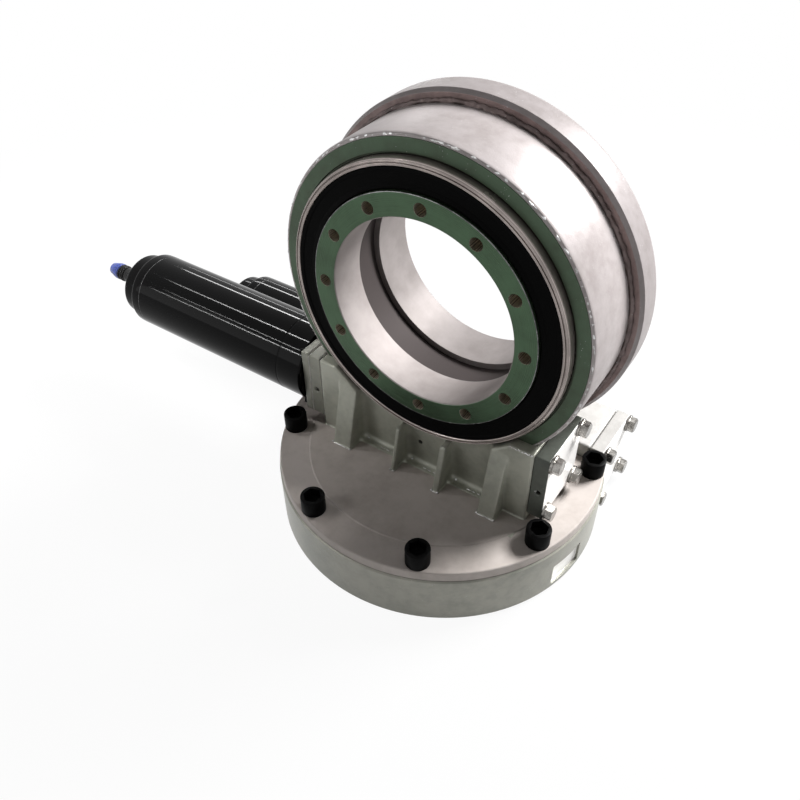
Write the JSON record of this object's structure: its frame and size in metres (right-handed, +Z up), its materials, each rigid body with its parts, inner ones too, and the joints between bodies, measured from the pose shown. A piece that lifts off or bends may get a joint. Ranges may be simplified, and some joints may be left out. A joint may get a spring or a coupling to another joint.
{
  "type": "solar slew drive",
  "caption": "Dual-axis slew drive for a solar tracker: a worm-driven ring on a turning base carries an upright worm-driven ring, each with its own gearmotor.",
  "frame": {"origin": "on the azimuth axis, in the plane of the base ring's underside, which is bolted to the mast", "axes": "+Z up along the azimuth axis; +Y along the upright ring's axis, from its bright front face to its back; both gearmotors point to -X"},
  "size_m": [0.6536, 0.344, 0.4312],
  "materials": {
    "silver_casting": "silver aluminium paint on cast iron, satin",
    "machined_ring_steel": "machined and lightly oiled",
    "worm_steel": "ground thread, greased",
    "bearing_steel": "ground and polished",
    "bright_lip_steel": "turned bright",
    "black_rubber": "matte black lip seal",
    "black_oxide_steel": "black oxide, satin",
    "zinc_plated_steel": "bright zinc plate",
    "black_plastic": "moulded black nylon",
    "blue_plastic": "moulded blue plastic",
    "black_enamel": "gloss black enamel"
  },
  "bodies": {
    "base": {"azimuth_ring": "machined_ring_steel"},
    "housing": {"lower_drum": "silver_casting", "azimuth_seal": "black_rubber", "azimuth_ball_row": "bearing_steel", "upper_casting": "silver_casting", "drum_rear_shell": "silver_casting", "front_lip_ring": "bright_lip_steel", "rear_lip_ring": "bright_lip_steel", "front_seal": "black_rubber", "rear_seal": "black_rubber", "elevation_outer_race": "bearing_steel", "elevation_ball_row": "bearing_steel", "flange_bolt_1": "black_oxide_steel", "flange_bolt_2": "black_oxide_steel", "flange_bolt_3": "black_oxide_steel", "flange_bolt_4": "black_oxide_steel", "flange_bolt_5": "black_oxide_steel", "flange_bolt_6": "black_oxide_steel", "elevation_bearing_drive_end": "bearing_steel", "elevation_bearing_free_end": "bearing_steel", "elevation_end_cover": "silver_casting", "elevation_cover_bolt_1": "zinc_plated_steel", "elevation_cover_bolt_2": "zinc_plated_steel", "elevation_cover_bolt_3": "zinc_plated_steel", "elevation_cover_bolt_4": "zinc_plated_steel", "elevation_adaptor_plate": "silver_casting", "elevation_motor_plate": "silver_casting", "elevation_shaft_seal": "black_rubber", "elevation_motor_body": "black_enamel", "elevation_motor_end_cap": "black_enamel", "elevation_motor_rear_cap": "black_enamel", "elevation_cable_gland": "black_plastic", "elevation_connector_cap": "blue_plastic", "azimuth_bearing_drive_end": "bearing_steel", "azimuth_bearing_free_end": "bearing_steel", "azimuth_end_cover": "silver_casting", "azimuth_cover_bolt_1": "zinc_plated_steel", "azimuth_cover_bolt_2": "zinc_plated_steel", "azimuth_cover_bolt_3": "zinc_plated_steel", "azimuth_cover_bolt_4": "zinc_plated_steel", "azimuth_adaptor_plate": "silver_casting", "azimuth_motor_plate": "silver_casting", "azimuth_shaft_seal": "black_rubber", "azimuth_motor_body": "black_enamel", "azimuth_motor_end_cap": "black_enamel", "azimuth_motor_rear_cap": "black_enamel", "azimuth_cable_gland": "black_plastic", "azimuth_connector_cap": "blue_plastic"},
    "elevation_ring": {"elevation_gear_ring": "machined_ring_steel", "elevation_rear_ring": "machined_ring_steel"},
    "elevation_worm": {"elevation_worm": "worm_steel", "elevation_drive_shaft": "worm_steel"},
    "azimuth_worm": {"azimuth_worm": "worm_steel", "azimuth_drive_shaft": "worm_steel"}
  },
  "joints": [
    {"name": "azimuth", "type": "hinge", "parent": "base", "child": "housing", "pos_m": [0, 0, 0], "axis": [0, 0, 1], "continuous": true},
    {"name": "elevation", "type": "hinge", "parent": "housing", "child": "elevation_ring", "pos_m": [0, 0, 0.2625], "axis": [0, 1, 0], "continuous": true},
    {"name": "elevation_worm_spin", "type": "hinge", "parent": "housing", "child": "elevation_worm", "pos_m": [0, -0.012, 0.1215], "axis": [1, 0, 0], "continuous": true},
    {"name": "azimuth_worm_spin", "type": "hinge", "parent": "housing", "child": "azimuth_worm", "pos_m": [0, 0.097, 0.0485], "axis": [1, 0, 0], "continuous": true}
  ],
  "couplings": [
    {"joint": "elevation_worm_spin", "follows": "elevation", "ratio": 63},
    {"joint": "azimuth_worm_spin", "follows": "azimuth", "ratio": -41}
  ]
}
